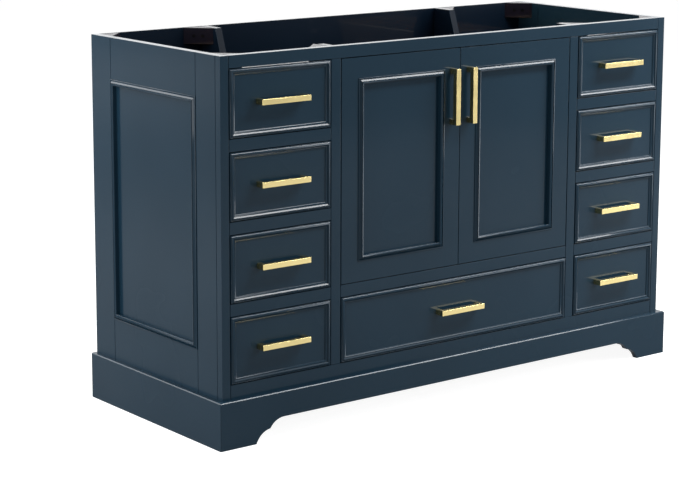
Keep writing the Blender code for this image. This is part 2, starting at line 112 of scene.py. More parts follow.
class Finish:
    """A material on a Principled shader, with its node maker."""

    def __init__(self, name, **constants):
        self.material = bpy.data.materials.new(name)
        self.material.use_nodes = True
        self.tree = self.material.node_tree
        self.shader = self.tree.nodes["Principled BSDF"]
        for socket, value in constants.items():
            self.shader.inputs[socket.replace("_", " ")].default_value = value

    def node(self, kind, settings=None, inputs=None, output=0):
        made = self.tree.nodes.new(kind)
        for name, value in (settings or {}).items():
            if name == "stops":
                self.set_stops(made.color_ramp, value)
            else:
                setattr(made, name, value)
        for socket, value in (inputs or {}).items():
            self.feed(made.inputs[socket], value)
        return Field(self, made.outputs[output])

    def set_stops(self, ramp, stops):
        while len(ramp.elements) < len(stops):
            ramp.elements.new(1.0)
        for element, (position, colour) in zip(ramp.elements, stops):
            element.position = position
            element.color = (*colour, 1.0)

    def feed(self, socket, value):
        if isinstance(value, Field):
            self.tree.links.new(value.socket, socket)
        else:
            socket.default_value = value

    def surface(self, socket, value):
        self.feed(self.shader.inputs[socket], value)

    def place(self, stretch=(1.0, 1.0, 1.0)):
        """Object coordinates, stretched along the axes."""
        plain = self.node("ShaderNodeTexCoord", output="Object")
        return self.node("ShaderNodeMapping", {}, {"Vector": plain, "Scale": stretch})

    def noise(self, scale, detail=3.0, roughness=0.5, stretch=(1.0, 1.0, 1.0)):
        grain = {"Scale": scale, "Detail": detail, "Roughness": roughness}
        return self.node("ShaderNodeTexNoise", {}, {"Vector": self.place(stretch), **grain})

    def blend(self, mask, first, second):
        """Mixes two colours by a mask."""
        return self.node(
            "ShaderNodeMix",
            {"data_type": "RGBA"},
            {"Factor": mask, 6: first, 7: second},
            output=2,
        )

    def spread(self, value, low, high, new_low, new_high):
        """Stretches the range low..high of a value to new_low..new_high, and holds it there."""
        ends = {1: low, 2: high, 3: new_low, 4: new_high}
        return self.node("ShaderNodeMapRange", {}, {0: value, **ends})

    def relief(self, height, distance, strength=1.0):
        values = {"Height": height, "Distance": distance, "Strength": strength}
        self.surface("Normal", self.node("ShaderNodeBump", {}, values))


def rgb(red, green, blue):
    return (red, green, blue, 1.0)


def navy_lacquer(name, deep, light, gloss):
    """Sprayed satin lacquer under a clear coat: a faint drift of tone, and orange peel."""
    finish = Finish(name, IOR=1.5, Specular_IOR_Level=0.03, Coat_Roughness=0.05, Coat_IOR=1.5)
    drift = finish.noise(3.1, detail=2.0)
    tone = finish.spread(drift, 0.35, 0.65, 0.0, 1.0)
    finish.surface("Base Color", finish.blend(tone, deep, light))
    handled = finish.noise(4.0, detail=2.0)
    finish.surface("Roughness", finish.spread(handled, 0.3, 0.7, gloss - 0.01, gloss + 0.02))
    finish.surface("Coat Weight", finish.spread(handled, 0.3, 0.7, 0.24, 0.21))
    peel = finish.noise(380.0, detail=1.0)
    finish.relief(peel, 0.00002, 0.12)
    return finish.material


def brushed_brass():
    finish = Finish("satin_brass", Metallic=1.0)
    brushing = finish.noise(900.0, detail=2.0, stretch=(0.03, 1.0, 0.03))
    tone = finish.noise(25.0)
    pale, deep = rgb(0.69, 0.575, 0.275), rgb(0.63, 0.52, 0.24)
    finish.surface("Base Color", finish.blend(tone, pale, deep))
    finish.surface("Roughness", finish.spread(brushing, 0.3, 0.7, 0.20, 0.27))
    finish.relief(brushing, 0.00003, 0.25)
    return finish.material


def zinc_plate():
    finish = Finish("zinc_steel", Metallic=1.0)
    mottle = finish.noise(70.0, detail=4.0)
    dull, bright = rgb(0.50, 0.51, 0.53), rgb(0.72, 0.73, 0.74)
    finish.surface("Base Color", finish.blend(mottle, dull, bright))
    finish.surface("Roughness", finish.spread(mottle, 0.3, 0.7, 0.28, 0.42))
    finish.relief(finish.noise(500.0, detail=2.0), 0.00004, 0.2)
    return finish.material


def birch_wood(name, stretch, pale, dark):
    """Clear-lacquered birch, with its grain along one axis."""
    finish = Finish(name, IOR=1.45)
    figure = finish.noise(22.0, detail=4.0, roughness=0.6, stretch=stretch)
    pores = finish.noise(240.0, detail=2.0, stretch=stretch)
    stops = [(0.30, dark), (0.52, pale), (0.75, tuple(0.88 * part for part in pale))]
    colour = finish.node("ShaderNodeValToRGB", {"stops": stops}, {"Fac": figure})
    streak = finish.spread(pores, 0.55, 0.75, 0.0, 0.35)
    finish.surface("Base Color", finish.blend(streak, colour, rgb(*dark)))
    finish.surface("Roughness", finish.spread(pores, 0.3, 0.7, 0.38, 0.55))
    finish.relief(pores, 0.0001, 0.3)
    return finish.material


def plain_plastic(name, colour, roughness):
    finish = Finish(name)
    cloud = finish.noise(40.0)
    shade = tuple(0.9 * part for part in colour)
    finish.surface("Base Color", finish.blend(cloud, rgb(*colour), rgb(*shade)))
    finish.surface("Roughness", finish.spread(cloud, 0.3, 0.7, roughness, roughness + 0.1))
    finish.relief(finish.noise(700.0), 0.00003, 0.2)
    return finish.material


PALE_BIRCH = (0.72, 0.55, 0.36)
DARK_BIRCH = (0.52, 0.36, 0.20)

NAVY = navy_lacquer("navy_paint", rgb(0.0060, 0.0180, 0.0305), rgb(0.0070, 0.0200, 0.0335), 0.26)
# The edge paint is a lighter copy of the navy: a painted highlight along rounded edges.
NAVY_EDGE_HIGHLIGHT = navy_lacquer(
    "navy_paint_edge_highlight", rgb(0.0070, 0.0190, 0.0325), rgb(0.0085, 0.0220, 0.0370), 0.22
)
# A much darker copy of the navy for the inside boards and the door stop: painted shade of the
# cabinet's interior.
NAVY_SHADED_INSIDE = navy_lacquer(
    "navy_paint_inside_shaded", rgb(0.0018, 0.0045, 0.0095), rgb(0.0024, 0.0058, 0.0115), 0.34
)
BRASS = brushed_brass()
STEEL = zinc_plate()
BIRCH_LONG = birch_wood("birch_along_y", (1.0, 0.05, 1.0), PALE_BIRCH, DARK_BIRCH)
BIRCH_CROSS = birch_wood("birch_along_x", (0.05, 1.0, 1.0), PALE_BIRCH, DARK_BIRCH)
BIRCH_END = birch_wood("birch_end_grain", (1.0, 1.0, 1.0), (0.55, 0.39, 0.23), (0.38, 0.25, 0.13))
NYLON = plain_plastic("white_nylon", (0.75, 0.75, 0.73), 0.35)
BUMPER = plain_plastic("clear_bumper", (0.55, 0.57, 0.58), 0.25)
# The corner blocks' brownish stain, made near black as painted shade of the cabinet's top corners.
BLOCK_WOOD_SHADED = navy_lacquer(
    "block_stain_and_painted_shade", rgb(0.0040, 0.0035, 0.0070), rgb(0.0055, 0.0045, 0.0085), 0.5
)
# Near black for the screws' cross recesses and the blocks' screw holes: painted shade in place of
# the hollows.
RECESS_PAINTED_SHADE = navy_lacquer(
    "recess_painted_shade", rgb(0.0008, 0.0008, 0.0012), rgb(0.0012, 0.0012, 0.0016), 0.6
)

# What a piece is painted with: its faces, then its rounded edges, which take a lighter, glossier
# copy of the paint as painted highlight.
PAINTED = (NAVY, NAVY_EDGE_HIGHLIGHT)
PLATED = (STEEL, STEEL)


# ---------------------------------------------------------------- modelling helpers


def deselect_all():
    if bpy.context.object and bpy.context.object.mode == "EDIT":
        bpy.ops.object.mode_set(mode="OBJECT")
    bpy.ops.object.select_all(action="DESELECT")


def pick(obj):
    deselect_all()
    obj.select_set(True)
    bpy.context.view_layer.objects.active = obj


def settle(obj, name):
    """Puts the object's place, turn and scale into its mesh and names both."""
    pick(obj)
    bpy.ops.object.transform_apply(location=True, rotation=True, scale=True)
    obj.name = name
    obj.data.name = name
    return obj


def apply_modifier(obj, kind, **settings):
    pick(obj)
    modifier = obj.modifiers.new(kind.title(), kind)
    for setting, value in settings.items():
        setattr(modifier, setting, value)
    bpy.ops.object.modifier_apply(modifier=modifier.name)


def ease_edges(obj, width=EASE, segments=2):
    """Rounds the sharp edges; the rounded faces take the second material, which on painted pieces
    is the lighter edge paint, a painted highlight.
    """
    apply_modifier(
        obj,
        "BEVEL",
        width=width,
        segments=segments,
        limit_method="ANGLE",
        angle_limit=FLAT_FACE_TURN,
        material=1,
        use_clamp_overlap=True,
    )


def smooth(obj):
    """Smooth rounded edges between faces that stay flat."""
    pick(obj)
    bpy.ops.object.shade_smooth_by_angle(angle=FLAT_FACE_TURN)
    apply_modifier(obj, "WEIGHTED_NORMAL", keep_sharp=True)


def paint_with(obj, materials):
    obj.data.materials.clear()
    for material in materials:
        obj.data.materials.append(material)


def cube_between(name, low, high):
    low = Vector(low)
    high = Vector(high)
    deselect_all()
    bpy.ops.mesh.primitive_cube_add(size=1.0, location=(low + high) / 2)
    obj = bpy.context.object
    obj.scale = high - low
    return settle(obj, name)


def board(name, low, high, materials=PAINTED, ease=EASE):
    """A board between two corners, with its edges eased."""
    obj = cube_between(name, low, high)
    paint_with(obj, materials)
    if ease:
        ease_edges(obj, ease)
    return obj


def join(name, pieces):
    deselect_all()
    for piece in pieces:
        piece.select_set(True)
    bpy.context.view_layer.objects.active = pieces[0]
    if len(pieces) > 1:
        bpy.ops.object.join()
    whole = bpy.context.view_layer.objects.active
    whole.name = name
    whole.data.name = name
    return whole


def fit_to(obj, body, slot, *nodes):
    """Smooths a finished piece and sends it to its CAD body, in place of CAD nodes if any are
    given.
    """
    smooth(obj)
    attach(obj, body)
    if nodes:
        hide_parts(*nodes)


def shaped_from(node, ease, materials=PAINTED, segments=2):
    """A welded copy of a CAD node, flat faces made whole and its edges eased."""
    source = frame["nodes"][node]
    obj = bpy.data.objects.new(f"{node}_fine", source.data.copy())
    bpy.context.scene.collection.objects.link(obj)
    paint_with(obj, materials)
    pick(obj)
    bpy.ops.object.mode_set(mode="EDIT")
    bpy.ops.mesh.select_all(action="SELECT")
    bpy.ops.mesh.remove_doubles(threshold=WELD)
    bpy.ops.mesh.dissolve_limited(angle_limit=COPLANAR_TURN)
    bpy.ops.object.mode_set(mode="OBJECT")
    for face in obj.data.polygons:
        face.material_index = 0
    if ease:
        ease_edges(obj, ease, segments)
    return obj


def select_facing(obj, *directions):
    """Selects, for each direction, the largest face that looks that way, and stays in edit mode."""
    pick(obj)
    bpy.ops.object.mode_set(mode="EDIT")
    bpy.ops.mesh.select_mode(type="FACE")
    bpy.ops.mesh.select_all(action="DESELECT")
    bpy.ops.object.mode_set(mode="OBJECT")
    for direction in directions:
        way = Vector(direction)
        looking = [face for face in obj.data.polygons if face.normal.dot(way) > FACING]
        max(looking, key=lambda face: face.area).select = True
    bpy.ops.object.mode_set(mode="EDIT")


def run_profile(profile):
    """Insets the selected face step by step: each step is (distance inwards, height)."""
    inward, height = profile[0]
    for next_inward, next_height in profile[1:]:
        step = max(next_inward - inward, LEAST_INSET)
        bpy.ops.mesh.inset(thickness=step, depth=next_height - height)
        inward, height = next_inward, next_height


def rounded(centre, radius, start, end, steps):
    """Profile points along an arc; angles in degrees, 0 inwards and 90 up."""
    points = []
    for step in range(steps + 1):
        angle = math.radians(start + (end - start) * step / steps)
        points.append((centre[0] + radius * math.cos(angle), centre[1] + radius * math.sin(angle)))
    return points


def cylinder(name, centre, axis, radius, length, sides, materials=PLATED, ease=0.0):
    deselect_all()
    turn = Vector(axis).to_track_quat("Z", "Y").to_euler()
    bpy.ops.mesh.primitive_cylinder_add(
        vertices=sides, radius=radius, depth=length, location=centre, rotation=turn
    )
    obj = settle(bpy.context.object, name)
    paint_with(obj, materials)
    if ease:
        ease_edges(obj, ease)
    return obj


SCREW_SIDES = 20
SCREW_HEIGHT = 0.45          # share of its radius
SCREW_EASE = 0.45            # share of its height
RECESS_REACH = 0.55          # shares of the screw's radius
RECESS_HALF_WIDTH = 0.10
RECESS_BELOW = 0.0002
RECESS_ABOVE = 0.00012


def screw_head(place, toward, radius):
    """A low round head with a cross recess, seated on a surface; the recess is a thin near-black
    cross laid on the head as painted shade.
    """
    place = Vector(place)
    toward = Vector(toward)
    height = radius * SCREW_HEIGHT
    middle = place + toward * height / 2
    ease = height * SCREW_EASE
    head = cylinder("screw_head", middle, toward, radius, height, SCREW_SIDES, ease=ease)
    top = place + toward * height
    arms = []
    for along in (toward.orthogonal().normalized(), toward.cross(toward.orthogonal()).normalized()):
        across = toward.cross(along)
        reach = along * radius * RECESS_REACH + across * radius * RECESS_HALF_WIDTH
        spread = Vector([abs(part) for part in reach])
        low = top - spread - toward * RECESS_BELOW
        high = top + spread + toward * RECESS_ABOVE
        arm = cube_between("recess", low, high)
        paint_with(arm, (RECESS_PAINTED_SHADE, RECESS_PAINTED_SHADE))
        arms.append(arm)
    return join("screw_head", [head, *arms])


# ---------------------------------------------------------------- face frame, sides and base


def opening_of(node):
    """The face frame opening round an inset front: (low x, high x, low z, high z)."""
    low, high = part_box(node)
    return low.x - FRONT_GAP, high.x + FRONT_GAP, low.z - FRONT_GAP, high.z + FRONT_GAP


def face_board(x_range, z_range):
    """One stile or rail of the face frame, held off its neighbours by the seam."""
    low = (x_range[0] + SEAM, FACE_Y, z_range[0])
    high = (x_range[1] - SEAM, FACE_BACK_Y, z_range[1])
    return board("face_board", low, high)


FRAME_FOOT_Z = 0.060         # where the bottom rail ends, behind the base board
DOOR_STOP_DROP = 0.008       # how far the stop strip hangs behind the doors' top edges
DOOR_STOP_THICKNESS = 0.010


def build_face_frame():
    drawer_low_x, drawer_high_x, lowest, _ = opening_of("right_drawer_4_front")
    door_half = opening_of("right_door_frame")[1]
    shelf_z = opening_of("center_drawer_front")[3]
    top_rail_z = TOP_Z - RAIL
    boards = []
    for side in (-1, 1):
        ends = sorted((side * drawer_high_x, side * BODY_HALF))
        boards.append(face_board(ends, (0.0, TOP_Z)))
        ends = sorted((side * door_half, side * drawer_low_x))
        boards.append(face_board(ends, (lowest + SEAM, top_rail_z - SEAM)))
        ends = sorted((side * drawer_low_x, side * drawer_high_x))
        for row in (1, 2, 3):
            top = opening_of(f"right_drawer_{row}_front")[2]
            boards.append(face_board(ends, (top - RAIL, top)))
    between_stiles = (-drawer_high_x, drawer_high_x)
    boards.append(face_board(between_stiles, (top_rail_z, TOP_Z)))
    boards.append(face_board(between_stiles, (FRAME_FOOT_Z, lowest)))
    boards.append(face_board((-door_half, door_half), (shelf_z, shelf_z + RAIL)))
    fit_to(join("face_frame_boards", boards), "cabinet", PAINT_SLOT, "face_frame")
    stop_low = (-door_half, FACE_BACK_Y + SEAM, top_rail_z - DOOR_STOP_DROP)
    stop_high = (door_half, FACE_BACK_Y + DOOR_STOP_THICKNESS, top_rail_z + DOOR_STOP_DROP)
    # The stop strip behind the doors takes the darker inside paint, a painted shade.
    strip = board("door_stop_strip", stop_low, stop_high, (NAVY_SHADED_INSIDE, NAVY_SHADED_INSIDE))
    fit_to(strip, "cabinet", PAINT_SLOT)


MOULDING_WIDTH = 0.0145
MOULDING_PROUD = 0.006
PANEL_SET_BACK = 0.006


def moulding_profile():
    """Door and side moulding, inwards: fillet, rising slope, bead, then the drop to the panel."""
    fillet = [(0.0002, 0.0014), (0.0010, 0.0021), (0.0024, 0.0026), (0.0027, 0.0004)]
    slope = [(0.0031, 0.0006), (0.0072, 0.0039), (0.0079, 0.0043), (0.0085, 0.0036)]
    crown = (0.0094, MOULDING_PROUD - 0.0002)
    bead = [(0.0088, 0.0052), crown, (0.0114, 0.0052), (0.0135, 0.0035)]
    foot = (MOULDING_WIDTH, -PANEL_SET_BACK - 0.0004)
    wall = [(0.0139, 0.0), (0.0141, -PANEL_SET_BACK + 0.0008), foot]
    return [(0.0, 0.0), *fillet, *slope, *bead, *wall]


def moulded_frame(name, low, high, toward, border, ease):
    """One frame round an opening: a flat border if any, then the moulding, down to the panel."""
    obj = cube_between(name, low, high)
    paint_with(obj, PAINTED)
    if ease:
        ease_edges(obj, ease)
    away = -Vector(toward)
    select_facing(obj, toward)
    if border:
        bpy.ops.mesh.inset(thickness=border - ease)
    run_profile(moulding_profile())
    select_facing(obj, away)
    bpy.ops.mesh.inset(thickness=border + MOULDING_WIDTH - ease)
    select_facing(obj, toward, away)
    bpy.ops.mesh.bridge_edge_loops()
    bpy.ops.mesh.select_all(action="SELECT")
    bpy.ops.mesh.normals_make_consistent(inside=False)
    bpy.ops.object.mode_set(mode="OBJECT")
    return obj


SIDE_FRONT_STILE = 0.076
SIDE_BACK_STILE = 0.084
SIDE_BOTTOM_RAIL = 0.098
SIDE_TOP_RAIL = 0.097


def build_side(word, side):
    """Stiles and rails that meet in open seams, with the moulding and the panel inside them."""
    low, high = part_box(f"{word}_side_frame")
    face_x = side * BODY_HALF
    inner_x = low.x if side > 0 else high.x
    low_x, high_x = sorted((face_x, inner_x))
    front_edge = low.y + SIDE_FRONT_STILE
    back_edge = high.y - SIDE_BACK_STILE
    bottom_edge = BASE_TOP + SIDE_BOTTOM_RAIL
    top_edge = high.z - SIDE_TOP_RAIL

    def member(y_range, z_range):
        return board("member", (low_x, y_range[0], z_range[0]), (high_x, y_range[1], z_range[1]))

    between_stiles = (front_edge + SEAM, back_edge - SEAM)
    members = [
        member((low.y, front_edge - SEAM), (low.z, high.z)),
        member((back_edge + SEAM, high.y), (low.z, high.z)),
        member(between_stiles, (low.z, bottom_edge)),
        member(between_stiles, (top_edge, high.z)),
    ]
    whole = join(f"{word}_side_stiles_and_rails", members)
    fit_to(whole, "cabinet", PAINT_SLOT, f"{word}_side_frame")
    ring_low = (low_x, front_edge, bottom_edge)
    ring_high = (high_x, back_edge, top_edge)
    ring = moulded_frame(f"{word}_side_moulding", ring_low, ring_high, (side, 0, 0), 0.0, 0.0)
    fit_to(ring, "cabinet", PAINT_SLOT)
    panel = shaped_from(f"{word}_side_panel", 0.0)
    fit_to(panel, "cabinet", PAINT_SLOT, f"{word}_side_panel")


BASE_CHAMFER = 0.0022
BASE_EASE = 0.0005
SAME_PLACE = 0.0005          # how near a vertex is to a plane that it lies in


def build_base():
    """The base boards, with a small chamfer along their top outer edge."""
    outer_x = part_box("base_right")[1].x
    outer_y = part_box("base_front")[0].y
    for node in ("base_front", "base_left", "base_right"):
        obj = shaped_from(node, 0.0)
        pick(obj)
        bpy.ops.object.mode_set(mode="EDIT")
        bpy.ops.mesh.select_mode(type="EDGE")
        bpy.ops.mesh.select_all(action="DESELECT")
        bpy.ops.object.mode_set(mode="OBJECT")
        for edge in obj.data.edges:
            ends = [obj.data.vertices[i].co for i in edge.vertices]
            if node == "base_front":
                outside = all(abs(end.y - outer_y) < SAME_PLACE for end in ends)
            else:
                outside = all(abs(abs(end.x) - outer_x) < SAME_PLACE for end in ends)
            edge.select = outside and all(abs(end.z - BASE_TOP) < SAME_PLACE for end in ends)
        bpy.ops.object.mode_set(mode="EDIT")
        bpy.ops.mesh.bevel(offset=BASE_CHAMFER, segments=1)
        bpy.ops.object.mode_set(mode="OBJECT")
        ease_edges(obj, BASE_EASE)
        fit_to(obj, "cabinet", PAINT_SLOT, node)


BLOCK_LEG = 0.055
BLOCK_HEIGHT = 0.040
BLOCK_TOP_GAP = 0.0004
BLOCK_SHAVE = 0.002          # how far the long face is cut back from the corner to corner line
BLOCK_EASE = 0.0012
HOLE_RADIUS = 0.0042
HOLE_SPREAD = 0.011          # from the middle of the long face
HOLE_DEPTH = 0.0002
HOLE_SIDES = 20


def corner_block(corner, x_way, y_way):
    """A triangular block in a top corner of a bay, with two screw holes in its long face; each hole
    is a thin near-black disc, a painted shade.
    """
    reach = (corner[0] + x_way * BLOCK_LEG, corner[1] + y_way * BLOCK_LEG)
    low = (min(corner[0], reach[0]), min(corner[1], reach[1]), TOP_Z - BLOCK_HEIGHT)
    high = (max(corner[0], reach[0]), max(corner[1], reach[1]), TOP_Z - BLOCK_TOP_GAP)
    obj = cube_between("corner_block", low, high)
    pick(obj)
    bpy.ops.object.mode_set(mode="EDIT")
    bpy.ops.mesh.select_all(action="SELECT")
    slant = Vector((x_way, y_way, 0.0)).normalized()
    middle = ((corner[0] + reach[0]) / 2, (corner[1] + reach[1]) / 2, TOP_Z)
    cut = Vector(middle) - slant * BLOCK_SHAVE
    bpy.ops.mesh.bisect(plane_co=cut, plane_no=slant, use_fill=True, clear_outer=True)
    bpy.ops.object.mode_set(mode="OBJECT")
    # Near black as painted shade, over the blocks' brownish stain.
    paint_with(obj, (BLOCK_WOOD_SHADED, BLOCK_WOOD_SHADED))
    ease_edges(obj, BLOCK_EASE)
    across = Vector((slant.y, -slant.x, 0.0))
    face = Vector((middle[0], middle[1], TOP_Z - BLOCK_HEIGHT / 2)) - slant * BLOCK_SHAVE
    parts = [obj]
    for shift in (-HOLE_SPREAD, HOLE_SPREAD):
        centre = face + across * shift + slant * HOLE_DEPTH / 2
        shape = (HOLE_RADIUS, HOLE_DEPTH, HOLE_SIDES, (RECESS_PAINTED_SHADE, RECESS_PAINTED_SHADE))
        parts.append(cylinder("hole", centre, slant, *shape))
    return join("corner_block", parts)


def build_corner_blocks():
    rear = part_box("back_panel")[0].y
    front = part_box("left_partition")[0].y
    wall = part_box("right_side_frame")[0].x
    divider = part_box("right_partition")[1].x
    for word, side in (("left", -1), ("right", 1)):
        blocks = []
        for x, x_way in ((wall, -1), (divider, 1)):
            for y, y_way in ((front, 1), (rear, -1)):
                blocks.append(corner_block((side * x, y), side * x_way, y_way))
        fit_to(join(f"{word}_corner_blocks", blocks), "cabinet", PAINT_SLOT)


INSIDE_NODES = ("left_partition", "right_partition", "back_panel", "cabinet_floor", "center_shelf")
INSIDE_EASE = 0.0005


def build_carcass():
    for node in INSIDE_NODES:
        # The inside boards take the darker paint as painted shade, with the lighter edge paint as
        # painted highlight.
        obj = shaped_from(node, INSIDE_EASE, (NAVY_SHADED_INSIDE, NAVY_EDGE_HIGHLIGHT))
        fit_to(obj, "cabinet", PAINT_SLOT, node)
    build_corner_blocks()


# ---------------------------------------------------------------- drawers and doors


EDGE_DROP = 0.0052           # how far the front's outer edge lies behind its highest line
FIELD_DROP = 0.0065          # how far its flat field does


def front_profile():
    """Drawer front, inwards: a fillet, the main ridge, a quirk, a bead, the drop to the field."""
    fillet = [(0.0, -EDGE_DROP), *rounded((0.0010, -0.0042), 0.0009, 180, 20, 5)]
    rise = [(0.0022, -0.0034), (0.0047, -0.0014)]
    ridge = [(0.0060, -0.0010), (0.0064, -0.0010), (0.0092, -0.0032)]
    quirk = [(0.0093, -0.0046), (0.0097, -0.0046)]
    bead = [(0.0099, -0.0036), (0.0102, -0.0034), (0.0119, -0.0039)]
    fall = [(0.0140, -0.0056), (0.0140, -FIELD_DROP)]
    return [*fillet, *rise, *ridge, *quirk, *bead, *fall]


def build_front(name, body):
    low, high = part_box(name)
    obj = cube_between(f"{name}_moulded", (low.x, low.y + EDGE_DROP, low.z), high)
    paint_with(obj, PAINTED)
    select_facing(obj, (0, -1, 0))
    run_profile(front_profile())
    bpy.ops.object.mode_set(mode="OBJECT")
    fit_to(obj, body, PAINT_SLOT, name)


PULL_EASE = 0.0005


def build_pull(name, body):
    obj = shaped_from(name, PULL_EASE, (BRASS, BRASS), segments=3)
    fit_to(obj, body, BRASS_SLOT, name)


DRAWERS = [body for body in frame["bodies"] if f"{body}_box" in frame["nodes"]]
BOX_SIDE = 0.012
BOX_BOTTOM_LOW = 0.013       # from the box's lower edge to the bottom's underside
BOX_BOTTOM = 0.006
BOX_EASE = 0.001
BOX_SEAM = 0.00015           # between the ends and the sides
TAILS = 4                    # dovetails in each corner
TAIL_WIDTH = 0.013
TAIL_INSET = 0.0004          # from the box's end face
TAIL_DEPTH = 0.0005
TAIL_PROUD = 0.00005
TAIL_NARROW = 0.55           # share of its width that a tail keeps at its narrow end
PULL_SCREW_IN = 0.006        # from the pull's end to its screw
PULL_SCREW_RADIUS = 0.0045


def dovetail(x_face, x_way, y, z):
    """The end of one tail, let into a box side near one of its corners."""
    inner = x_face - x_way * TAIL_DEPTH
    low = (min(x_face, inner), y, z - TAIL_WIDTH / 2)
    high = (max(x_face, inner), y + BOX_SIDE, z + TAIL_WIDTH / 2)
    tail = cube_between("dovetail", low, high)
    for vertex in tail.data.vertices:
        if vertex.co.y < y + BOX_SIDE / 2:
            vertex.co.z = z + (vertex.co.z - z) * TAIL_NARROW
    paint_with(tail, (BIRCH_END, BIRCH_END))
    return tail


def build_box(drawer):
    """A dovetailed birch box with its bottom let in, and the pull's screws inside."""
    low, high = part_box(f"{drawer}_box")
    wood_long = (BIRCH_LONG, BIRCH_LONG)
    wood_cross = (BIRCH_CROSS, BIRCH_CROSS)
    parts = []
    for x_face, x_way in ((low.x, -1), (high.x, 1)):
        x_low, x_high = sorted((x_face, x_face - x_way * BOX_SIDE))
        ends = ((x_low, low.y, low.z), (x_high, high.y, high.z))
        parts.append(board("side", *ends, wood_long, BOX_EASE))
        for y in (low.y + TAIL_INSET, high.y - BOX_SIDE - TAIL_INSET):
            for step in range(TAILS):
                z = low.z + (step + 0.5) * (high.z - low.z) / TAILS
                parts.append(dovetail(x_face + x_way * TAIL_PROUD, x_way, y, z))
    inner_low = low.x + BOX_SIDE + BOX_SEAM
    inner_high = high.x - BOX_SIDE - BOX_SEAM
    for y in (low.y, high.y - BOX_SIDE):
        ends = ((inner_low, y, low.z), (inner_high, y + BOX_SIDE, high.z))
        parts.append(board("end", *ends, wood_cross, BOX_EASE))
    bottom_z = low.z + BOX_BOTTOM_LOW
    bottom_low = (inner_low, low.y + BOX_SIDE, bottom_z)
    bottom_high = (inner_high, high.y - BOX_SIDE, bottom_z + BOX_BOTTOM)
    parts.append(board("bottom", bottom_low, bottom_high, wood_long, 0.0))
    pull_low, pull_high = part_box(f"{drawer}_pull")
    pull_z = (pull_low.z + pull_high.z) / 2
    for x in (pull_low.x + PULL_SCREW_IN, pull_high.x - PULL_SCREW_IN):
        parts.append(screw_head((x, low.y + BOX_SIDE, pull_z), (0, 1, 0), PULL_SCREW_RADIUS))
    fit_to(join(f"{drawer}_birch_box", parts), drawer, BIRCH_SLOT, f"{drawer}_box")


RUNNER_SHEET = 0.0014
RUNNER_UPSTAND = 0.015       # above the box's lower edge
RUNNER_DROP = 0.004          # below it
RUNNER_LIP = 0.0177          # how far the lip reaches from the wall
RUNNER_SCREWS = (0.12, 0.45, 0.88)    # shares of the runner's length
RUNNER_SCREW_RISE = 0.009
ROLLER_SIDES = 28
ROLLER_EASE = 0.0006
ROLLER_BACK = 0.011          # from the runner's end to the roller's axle
FIXED_ROLLER = (0.0075, 0.0036, ROLLER_SIDES, (NYLON, NYLON), ROLLER_EASE)
FIXED_ROLLER_OUT = 0.0034    # from the wall
FIXED_ROLLER_RISE = 0.0055   # above the box's lower edge
MOVING_ROLLER = (0.0072, 0.0030, ROLLER_SIDES, (NYLON, NYLON), ROLLER_EASE)
MOVING_ROLLER_OUT = 0.0028   # from the box
MOVING_ROLLER_RISE = 0.0075
RIVET = (0.0024, 0.0006, 16)          # radius, height and sides
RIVET_OUT = 0.0054
RIVET_EASE = 0.0002
SMALL_SCREW_RADIUS = 0.0034


def channel(name, wall, way, y_range, floor_z):
    """The fixed member of one runner: a flange on the wall, a lip under the box, a front roller."""
    front, back = y_range
    low_z = floor_z - RUNNER_DROP
    web = sorted((wall, wall + way * RUNNER_SHEET))
    web_ends = ((web[0], front, low_z), (web[1], back, floor_z + RUNNER_UPSTAND))
    lip = sorted((wall, wall + way * RUNNER_LIP))
    lip_ends = ((lip[0], front, low_z), (lip[1], back, low_z + RUNNER_SHEET))
    parts = [board(name, *ends, PLATED, SHEET_EASE) for ends in (web_ends, lip_ends)]
    axle = (wall + way * FIXED_ROLLER_OUT, front + ROLLER_BACK, floor_z + FIXED_ROLLER_RISE)
    parts.append(cylinder(name, axle, (1, 0, 0), *FIXED_ROLLER))
    rivet = (wall + way * RIVET_OUT, axle[1], axle[2])
    parts.append(cylinder(name, rivet, (1, 0, 0), *RIVET, ease=RIVET_EASE))
    for share in RUNNER_SCREWS:
        y = front + share * (back - front)
        place = (wall + way * RUNNER_SHEET, y, floor_z + RUNNER_SCREW_RISE)
        parts.append(screw_head(place, (way, 0, 0), SMALL_SCREW_RADIUS))
    return parts


def build_runners():
    """Runners: fixed members on each wall in place of its comb, and one on each box edge."""
    left_bank = [f"left_drawer_{row}" for row in (1, 2, 3, 4)]
    right_bank = [f"right_drawer_{row}" for row in (1, 2, 3, 4)]
    walls = {
        "runners_left_outer": ("low", left_bank),
        "runners_left_inner": ("high", left_bank),
        "runners_right_outer": ("high", right_bank),
        "runners_right_inner": ("low", right_bank),
        "runner_center_left": ("low", ["center_drawer"]),
        "runner_center_right": ("high", ["center_drawer"]),
    }
    for node, (end, drawers) in walls.items():
        low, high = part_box(node)
        wall, way = (low.x, 1) if end == "low" else (high.x, -1)
        fixed = []
        for drawer in drawers:
            box_low, box_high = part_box(f"{drawer}_box")
            fixed += channel("channel", wall, way, (low.y, high.y), box_low.z)
            face = box_low.x if end == "low" else box_high.x
            build_slide_member(drawer, end, face, -way, (box_low, box_high))
        fit_to(join(f"{node}_channels", fixed), "cabinet", STEEL_SLOT, node)


ANGLE_SHEET = 0.0012
ANGLE_HEIGHT = 0.013
ANGLE_FOOT = 0.007           # how far it reaches under the box
ANGLE_FRONT_GAP = 0.004      # from the box's ends
ANGLE_BACK_GAP = 0.002
ANGLE_DROP = 0.0008          # below the box


